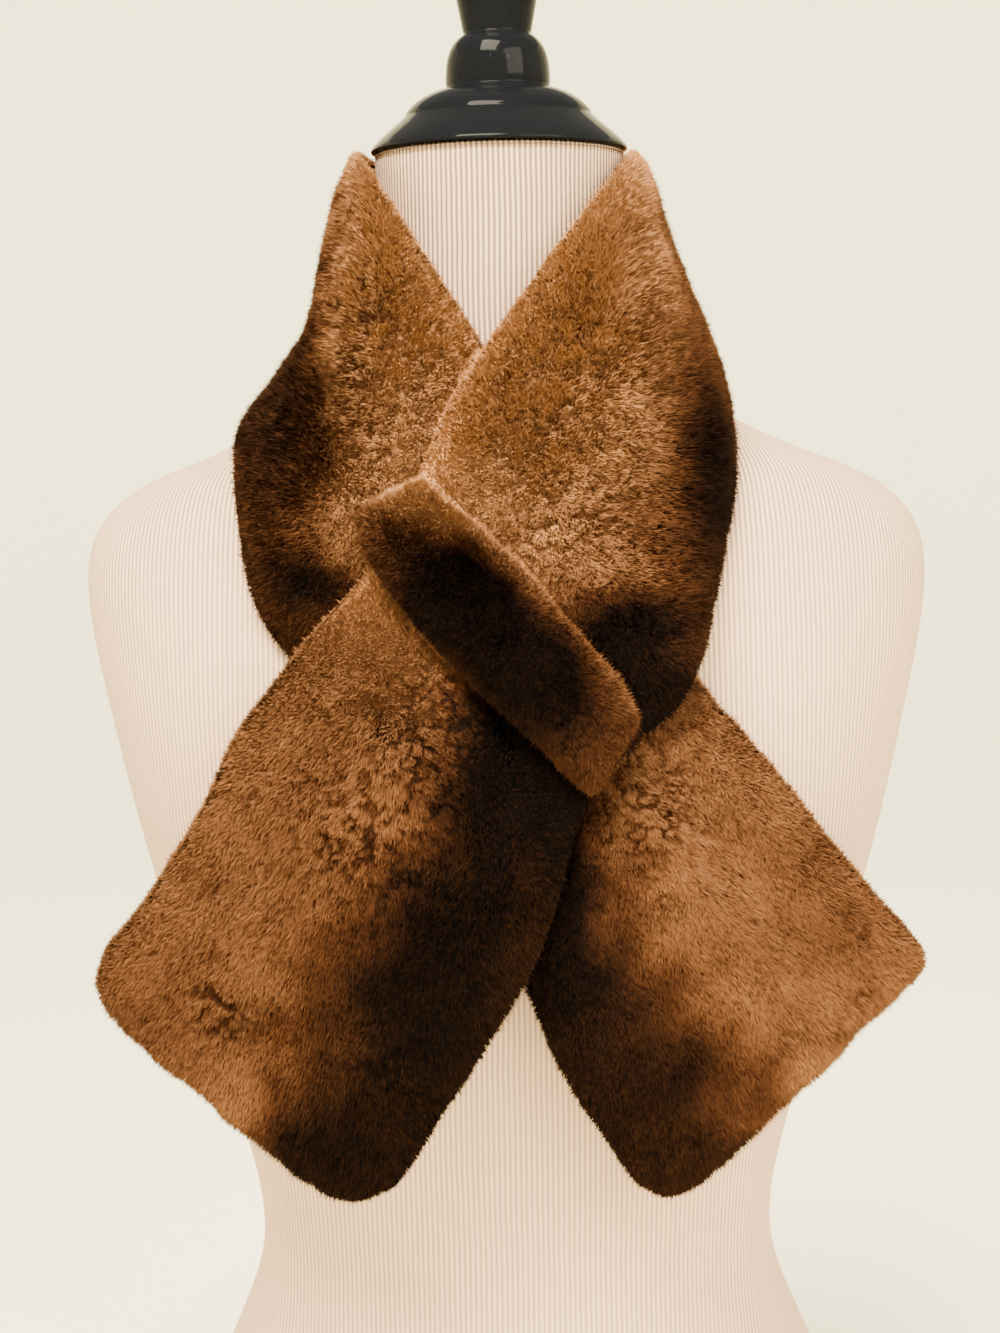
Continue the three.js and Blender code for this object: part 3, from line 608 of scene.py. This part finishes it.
def scattered(surface, triangles, weights, count, spacing, chance):
    """Values of the surface at random places, evenly spread. The first three values are the place itself."""
    corner = surface[triangles][:, :, :3]
    areas = np.linalg.norm(np.cross(corner[:, 1] - corner[:, 0], corner[:, 2] - corner[:, 0]), axis=1) / 2
    odds = areas * weights
    pick = chance.choice(len(triangles), int(count * 1.9), p=odds / odds.sum())
    a, b = np.sqrt(chance.random(len(pick))), chance.random(len(pick))
    mix = np.stack([1 - a, a * (1 - b), a * b], axis=1)
    values = np.einsum("nkv,nk->nv", surface[triangles[pick]], mix)
    keep = spread(values[:, :3], spacing)
    if len(keep) > count:
        keep = np.sort(chance.choice(keep, count, replace=False))
    return values[keep]


def clumps(points, size, chance):
    """For each point: the way to its clump's centre, its lead over the next clump, and the clump's own lean."""
    centres = points[spread(points + chance.random(3) * 0.01, size)]
    centres = centres[chance.random(len(centres)) < 0.8]
    tree = kdtree.KDTree(len(centres))
    for k, centre in enumerate(centres):
        tree.insert(centre, k)
    tree.balance()
    found = [tree.find_n(point, 2) for point in points]
    own = np.array([pair[0][1] for pair in found])
    lead = np.array([pair[1][2] - pair[0][2] for pair in found])
    return centres[own] - points, lead, unit(chance.normal(size=centres.shape))[own]


def flat_on(vectors, normals):
    return vectors - normals * np.sum(vectors * normals, axis=1, keepdims=True)


def hair_mesh(name, tip, foot, side, width):
    """One mesh of flat, pointed tufts, each a triangle with its foot in the hide."""
    half = side * width[:, None] / 2
    points = np.stack([foot - half, foot + half, tip], axis=1)
    mesh = bpy.data.meshes.new(name)
    mesh.vertices.add(len(tip) * 3)
    mesh.vertices.foreach_set("co", points.reshape(-1))
    mesh.loops.add(len(tip) * 3)
    mesh.loops.foreach_set("vertex_index", np.arange(len(tip) * 3))
    mesh.polygons.add(len(tip))
    mesh.polygons.foreach_set("loop_start", np.arange(0, len(tip) * 3, 3))
    mesh.polygons.foreach_set("use_smooth", np.ones(len(tip), bool))
    mesh.update(calc_edges=True)
    return mesh


def store(mesh, name, vectors):
    attribute = mesh.attributes.new(name, "FLOAT_VECTOR", "POINT")
    attribute.data.foreach_set("vector", np.ascontiguousarray(vectors, float).reshape(-1))


def build_pile(node, surface, triangles, weights, settings):
    """The pile of one piece, from the values of its surface: tip, root, normal, lay, darkness and parting."""
    chance = np.random.default_rng(settings.seed + len(node))
    values = scattered(surface, triangles, weights, FUR_PIECES[node]["tufts"], settings.spacing, chance)
    tip, root, normal, lay = (values[:, k:k + 3] for k in (0, 3, 6, 9))
    dark, parting = values[:, 12], values[:, 13]
    normal = unit(normal)
    length = np.linalg.norm(tip - root, axis=1)
    full = np.minimum(1, length / settings.depth)[:, None]
    to_tuft, _lead, tuft_lean = clumps(tip, settings.tuft, chance)
    wander = np.stack([field(tip, 0.0045, seed) for seed in (11, 12, 13)], axis=1) * WANDER
    to_clump, lead, clump_lean = clumps(tip + wander, settings.clump, chance)
    to_tuft, to_clump = flat_on(to_tuft, normal), flat_on(to_clump, normal)
    edge = np.minimum(np.linalg.norm(to_tuft, axis=1) / settings.tuft, 1)
    crack = parting * np.exp(-((lead / settings.crack) ** 2)) * smooth(field(tip, 0.006, 14) * 1.8 + 0.6)
    loose = chance.normal(size=tip.shape)
    lean = lay * LEAN_LAY + tuft_lean * LEAN_TUFT + clump_lean * LEAN_CLUMP + loose * LEAN_CHANCE
    lean = flat_on(lean, normal) * full * settings.lean
    guard = settings.guard * chance.random(len(tip)) * (chance.random(len(tip)) < STANDING_OUT)
    drop = length * (0.03 + 0.03 * edge**2 + CRACK_DEPTH * crack + 0.03 * chance.normal(size=len(tip)))
    moved = tip - normal * (drop - guard)[:, None]
    moved += to_tuft * 0.05 + unit(to_clump) * (crack * CRACK_PULL)[:, None]
    side = unit(np.cross(normal, lean) + flat_on(chance.normal(size=tip.shape), normal) * 0.0004)
    mesh = hair_mesh(
        node + "_pile", moved, root - normal * 0.0005 - lean, side,
        settings.hair * chance.uniform(0.75, 1.25, len(tip)))
    lie = normal + 0.07 * tuft_lean + 0.07 * clump_lean
    lie = unit(lie - to_tuft / settings.tuft * 0.1 - unit(to_clump) * (crack * 0.15)[:, None])
    store(mesh, "lie", np.repeat(lie, 3, axis=0))
    # Painted shade deep in the pile: the corners at a tuft's foot get the darkest value and its tip the palest, and
    # the tip is painted darker in a crack and at a fine clump's edge.
    painted_pile_shade = np.zeros((len(tip), 3))
    painted_pile_shade[:, 2] = np.clip(1 - CRACK_SHADE * crack - 0.06 * edge**2, 0, 1)
    # Cracks are also painted darker in the fur's tone, as shade in the crack.
    tone = np.minimum(dark + CRACK_PAINTED_DARKNESS * crack, 1)
    own = chance.random(len(tip))
    store(mesh, "pile", np.stack([np.repeat(tone, 3), painted_pile_shade.reshape(-1), np.repeat(own, 3)], axis=1))
    pile = bpy.data.objects.new(node + "_pile", mesh)
    bpy.context.scene.collection.objects.link(pile)
    return pile


def build_fur(node, settings):
    hide = open_copy(node)
    depth = pile_depth(hide, settings)
    tips = coordinates(hide.data)
    normals = np.array([v.normal[:] for v in hide.data.vertices])
    dark = darkness(node, tips)
    swell = settings.swell * (field(tips, 0.026, 3) + 0.5 * field(tips, 0.01, 4) - 0.6)
    swell = (swell + creased(node, tips)) * np.minimum(1, depth / settings.depth)
    parting = smooth(field(tips, 0.017, 5) * 1.3 + 0.1) * 0.25
    parting = np.clip(parting + blot(PARTINGS, node, tips, "much"), 0, 1)
    lay = np.stack([0.35 * field(tips, 0.02, seed) for seed in (8, 9, 10)], axis=1) + (0.15, 0, -0.9)
    tips = tips + normals * swell[:, None]
    roots = tips - normals * depth[:, None]
    hide.data.calc_loop_triangles()
    triangles = np.array([t.vertices[:] for t in hide.data.loop_triangles])
    weights = shown_share(tips[triangles].mean(axis=1), unit(normals[triangles].mean(axis=1)), node)
    surface = np.column_stack([tips, roots, normals, lay, dark, parting])
    pile = build_pile(node, surface, triangles, weights, settings)

    hide.data.vertices.foreach_set("co", roots.reshape(-1))
    hide.data.update()
    edit(
        hide, lambda: bpy.ops.mesh.select_all(action="DESELECT"),
        lambda: bpy.ops.mesh.select_mode(type="VERT"),
        lambda: bpy.ops.mesh.select_non_manifold(extend=False),
        lambda: bpy.ops.mesh.fill_holes(sides=0),
    )
    # Between the tufts the hide shows, painted a little darker than they are and darker still where the pile parts,
    # as shade at the foot of the pile; its second value darkens it as painted shade too.
    hide_tone_with_shade = np.minimum(dark + 0.07 + 0.1 * parting, 1)
    store(hide.data, "pile", np.column_stack([hide_tone_with_shade, np.full(len(dark), 0.6), np.full(len(dark), 0.5)]))
    store(hide.data, "lie", normals)
    material = bpy.data.materials.get("fur_pile") or fur_material()
    for piece in (hide, pile):
        piece.data.materials.append(material)
        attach(piece, "root")
    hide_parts(node)


# ---- the dress form


def section_column(name, heights):
    """A column of the form's table at these heights, on a smooth curve through its rows."""
    z = np.array([row["z"] for row in FORM_SECTIONS], float)
    y = np.array([row[name] for row in FORM_SECTIONS], float)
    last = len(z) - 1
    low, high = np.maximum(np.arange(last + 1) - 1, 0), np.minimum(np.arange(last + 1) + 1, last)
    slope = (y[high] - y[low]) / (z[high] - z[low])
    k = np.clip(np.searchsorted(z, heights, side="left") - 1, 0, last - 1)
    span = z[k + 1] - z[k]
    t = (heights - z[k]) / span
    return (
        y[k] * (2 * t**3 - 3 * t**2 + 1) + slope[k] * span * (t**3 - 2 * t**2 + t)
        + y[k + 1] * (3 * t**2 - 2 * t**3) + slope[k + 1] * span * (t**3 - t**2)
    )


def form_rings(settings):
    """Rings of points round the form from bottom to top, and the way round each ring from its front."""
    low = np.arange(1.5, CLOSE_ROWS_FROM, settings.step * 1000)
    high = np.arange(CLOSE_ROWS_FROM, NECK_TOP, settings.step * 550)
    heights = np.concatenate([[0.0], low, high, [NECK_TOP - 1.0, NECK_TOP, NECK_TOP]])
    shrink = np.ones(len(heights))
    shrink[0], shrink[-1], shrink[-2] = 0.99, 0.9, 0.985
    turns = np.linspace(0, 1, settings.around + 1)
    angle = -np.pi / 2 - np.pi + 2 * np.pi * turns
    c, s = np.cos(angle), np.sin(angle)
    values = {name: section_column(name, heights)[:, None] for name in ("half", "front", "back", "square")}
    power = 2 / values["square"]
    x = values["half"] * np.sign(c) * np.abs(c) ** power
    y = np.where(s < 0, values["front"], values["back"]) * np.sign(s) * np.abs(s) ** power
    rings = np.stack([x * shrink[:, None], y * shrink[:, None], heights[:, None] + 0 * x], axis=2) / 1000
    steps = np.linalg.norm(np.diff(rings, axis=1), axis=2)
    way = np.concatenate([np.zeros((len(heights), 1)), np.cumsum(steps, axis=1)], axis=1)
    way -= way[:, -1:] / 2
    rise = np.concatenate([[0], np.cumsum(np.linalg.norm(np.diff(rings[:, 0], axis=0), axis=1))])
    return rings, way, rise


def cover_material(settings):
    shader = Shader("ribbed_knit")
    place = shader.node("UVMap", uv_map="UVMap").outputs["UV"]
    round_way, rise, _unused = shader.node("SeparateXYZ", {0: place}).outputs
    drift = shader.node("TexNoise", {"Vector": place, "Scale": 24.0, "Detail": 2.0}).outputs["Fac"]
    bend = shader.math("MULTIPLY", shader.math("SUBTRACT", drift, 0.5), 0.0012)
    phase = shader.math("MULTIPLY", shader.math("ADD", round_way, bend), 2 * math.pi / settings.rib)
    wave = shader.math("MULTIPLY", shader.math("ADD", shader.math("SINE", phase), 1.0), 0.5)
    groove = shader.math("POWER", shader.math("SUBTRACT", 1.0, wave), 1.6)
    stitch = shader.math("SINE", shader.math("MULTIPLY", rise, 2 * math.pi / STITCH_HEIGHT))
    lint = shader.node("TexNoise", {"Vector": place, "Scale": 900.0, "Detail": 2.0}).outputs["Fac"]
    relief = shader.math("SUBTRACT", shader.math("MULTIPLY", stitch, 0.07), groove)
    relief = shader.math("ADD", relief, shader.math("MULTIPLY", lint, 0.25))
    bump = shader.node("Bump", {"Height": relief, "Strength": 0.8, "Distance": 0.0004}).outputs["Normal"]
    # The grooves are painted darker as shade, and more so up the neck, as painted shade where the ribs open out under
    # the cap.
    painted_groove_shade_scale = shader.node(
        "MapRange", {"Value": rise, "From Min": 0.5, "From Max": 0.66, "To Min": 0.46, "To Max": 0.92}).outputs[0]
    uneven = shader.math("MULTIPLY", shader.math("SUBTRACT", lint, 0.5), 0.14)
    shade = shader.math("ADD", shader.math("MULTIPLY", groove, painted_groove_shade_scale), uneven, clamp=True)
    return shader.finish(
        Base_Color=shader.ramp(shade, KNIT_TONES), Roughness=0.85, Normal=bump, Specular_IOR_Level=0.2)


def build_cover(settings):
    rings, way, rise = form_rings(settings)
    last = len(rings) + 1

    def place(turn, row):
        if row in (0, last):
            return (0, 0, NECK_TOP / 1000 if row else 0)
        return rings[row - 1][round(turn * settings.around)]

    def uv(turn, row):
        ring = min(max(row - 1, 0), len(rings) - 1)
        return way[ring][round(turn * settings.around)], rise[ring]

    cover = wrapped_grid("form_cover", settings.around, last, place, uv)
    cover.data.materials.append(cover_material(settings))
    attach(cover, "root")
    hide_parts("form_body")


def cap_material():
    shader = Shader("black_lacquer")
    place = shader.node("TexCoord").outputs["Object"]
    wavy = shader.node("TexNoise", {"Vector": place, "Scale": 34.0, "Detail": 2.0}).outputs["Fac"]
    fine = shader.node("TexNoise", {"Vector": place, "Scale": 420.0, "Detail": 3.0}).outputs["Fac"]
    relief = shader.math("ADD", wavy, shader.math("MULTIPLY", fine, 0.05))
    bump = shader.node("Bump", {"Height": relief, "Strength": 0.3, "Distance": 0.0012}).outputs["Normal"]
    rough = shader.ramp(fine, [(0.3, (0.05, 0.05, 0.05)), (0.75, (0.13, 0.13, 0.13))])
    return shader.finish(
        Base_Color=(0.003, 0.0035, 0.0045, 1), Roughness=rough, Normal=bump, Specular_IOR_Level=0.028)


def build_cap(settings):
    rows = len(CAP_OUTLINE) - 1

    def place(turn, row):
        radius, up = CAP_OUTLINE[row]
        angle = 2 * math.pi * turn
        return (radius * math.cos(angle) / 1000, radius * math.sin(angle) / 1000, NECK_TOP / 1000 + up / 1000)

    cap = wrapped_grid("turned_cap", settings.around, rows, place)
    apply_modifier(cap, "SUBSURF", levels=1)
    cap.data.materials.append(cap_material())
    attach(cap, "root")
    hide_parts("neck_cap")


# ---- the stage


def add_light(name, place, target, size, power, colour):
    bpy.ops.object.light_add(type="AREA", location=place)
    light = bpy.context.active_object
    light.name = name
    light.data.size = size
    light.data.energy = power
    light.data.color = colour
    light.rotation_euler = (Vector(target) - Vector(place)).to_track_quat("-Z", "Y").to_euler()


def build_stage(settings):
    radius = settings.radius
    curve = [(0, 0), (0.4, 0), (0.62, 0), (0.72, 0.012), (0.82, 0.05), (0.9, 0.12), (0.96, 0.22), (1, 0.36), (1, 0.8)]

    def place(turn, row):
        out, up = curve[row]
        angle = 2 * math.pi * turn
        return (out * radius * math.cos(angle), out * radius * math.sin(angle), up * radius)

    floor = wrapped_grid("floor", 48, len(curve) - 1, place)
    apply_modifier(floor, "SUBSURF", levels=2)
    shader = Shader("pale_floor")
    floor.data.materials.append(shader.finish(Base_Color=(0.84, 0.82, 0.66, 1), Roughness=0.9))

    world = bpy.data.worlds.new("studio")
    world.use_nodes = True
    world.node_tree.nodes["Background"].inputs["Color"].default_value = (1.0, 0.9, 0.7, 1)
    world.node_tree.nodes["Background"].inputs["Strength"].default_value = 0.9
    bpy.context.scene.world = world
    add_light("key", (-0.55, -1.15, 2.5), (0, 0, 0.42), 1.2, settings.key, (1.0, 0.88, 0.68))
    add_light("fill", (1.3, -1.6, 1.7), (0, 0, 0.42), 1.5, settings.fill, (1.0, 0.9, 0.72))
    for k, (x, z) in enumerate([(-0.5, 1.7), (-0.1, 1.9), (0.35, 1.8), (0.7, 1.6)]):
        add_light(f"spot_{k}", (x, -1.6, z), (0, 0, 0.7), 0.05, 1.2, (1.0, 0.96, 0.9))

    bpy.ops.object.camera_add(location=CAMERA_PLACE)
    camera = bpy.context.active_object
    camera.matrix_world = (
        Matrix.Translation(camera.location)
        @ Matrix.Rotation(math.radians(90) - math.radians(CAMERA_DOWN), 4, "X")
        @ Matrix.Rotation(-math.radians(CAMERA_ROLL), 4, "Z")
    )
    camera.data.sensor_width = SENSOR
    camera.data.lens = SENSOR * FOCAL_LENGTH / PICTURE_HEIGHT
    bpy.context.scene.camera = camera


# ---- the operators and their panel


class WRAP_OT_form_cover(bpy.types.Operator):
    """Build the dress form with its ribbed knit cover"""

    bl_idname = "wrap.form_cover"
    bl_label = "Dress form"

    def execute(self, context):
        build_cover(context.scene.wrap_cover)
        return {"FINISHED"}


class WRAP_OT_neck_cap(bpy.types.Operator):
    """Build the glossy turned cap on the form's neck"""

    bl_idname = "wrap.neck_cap"
    bl_label = "Neck cap"

    def execute(self, context):
        build_cap(context.scene.wrap_cap)
        return {"FINISHED"}


class WRAP_OT_fur_piece(bpy.types.Operator):
    """Build one stretch of the wrap: its hide and its pile"""

    bl_idname = "wrap.fur_piece"
    bl_label = "Fur piece"
    node: bpy.props.StringProperty(name="Piece", description="The solid that it stands for", default="collar_back")

    def execute(self, context):
        build_fur(self.node, context.scene.wrap_pile)
        return {"FINISHED"}


class WRAP_OT_stage(bpy.types.Operator):
    """Build the floor, the lights and the camera"""

    bl_idname = "wrap.stage"
    bl_label = "Stage"

    def execute(self, context):
        build_stage(context.scene.wrap_stage)
        return {"FINISHED"}


class WRAP_PT_panel(bpy.types.Panel):
    bl_idname = "WRAP_PT_panel"
    bl_label = "Fur collar wrap"
    bl_space_type = "VIEW_3D"
    bl_region_type = "UI"
    bl_category = "Fur wrap"

    def draw(self, context):
        for name, _kind, operators in GROUPS:
            box = self.layout.box()
            for key in getattr(context.scene, name).bl_rna.properties.keys():
                if key not in ("rna_type", "name"):
                    box.prop(getattr(context.scene, name), key)
            for operator in operators:
                if operator == "wrap.fur_piece":
                    for node in FUR_PIECES:
                        box.operator(operator, text=node).node = node
                else:
                    box.operator(operator)


GROUPS = [
    ("wrap_cover", CoverSettings, ["wrap.form_cover"]),
    ("wrap_cap", CapSettings, ["wrap.neck_cap"]),
    ("wrap_pile", PileSettings, ["wrap.fur_piece"]),
    ("wrap_stage", StageSettings, ["wrap.stage"]),
]
CLASSES = [kind for _name, kind, _operators in GROUPS] + [
    WRAP_OT_form_cover, WRAP_OT_neck_cap, WRAP_OT_fur_piece, WRAP_OT_stage, WRAP_PT_panel,
]


def register():
    for kind in CLASSES:
        bpy.utils.register_class(kind)
    for name, kind, _operators in GROUPS:
        setattr(bpy.types.Scene, name, bpy.props.PointerProperty(type=kind))


def unregister():
    for name, _kind, _operators in GROUPS:
        delattr(bpy.types.Scene, name)
    for kind in reversed(CLASSES):
        bpy.utils.unregister_class(kind)


def main():
    register()
    bpy.ops.wrap.stage()
    bpy.ops.wrap.form_cover()
    bpy.ops.wrap.neck_cap()
    for node in FUR_PIECES:
        bpy.ops.wrap.fur_piece(node=node)


if __name__ == "__main__":
    main()
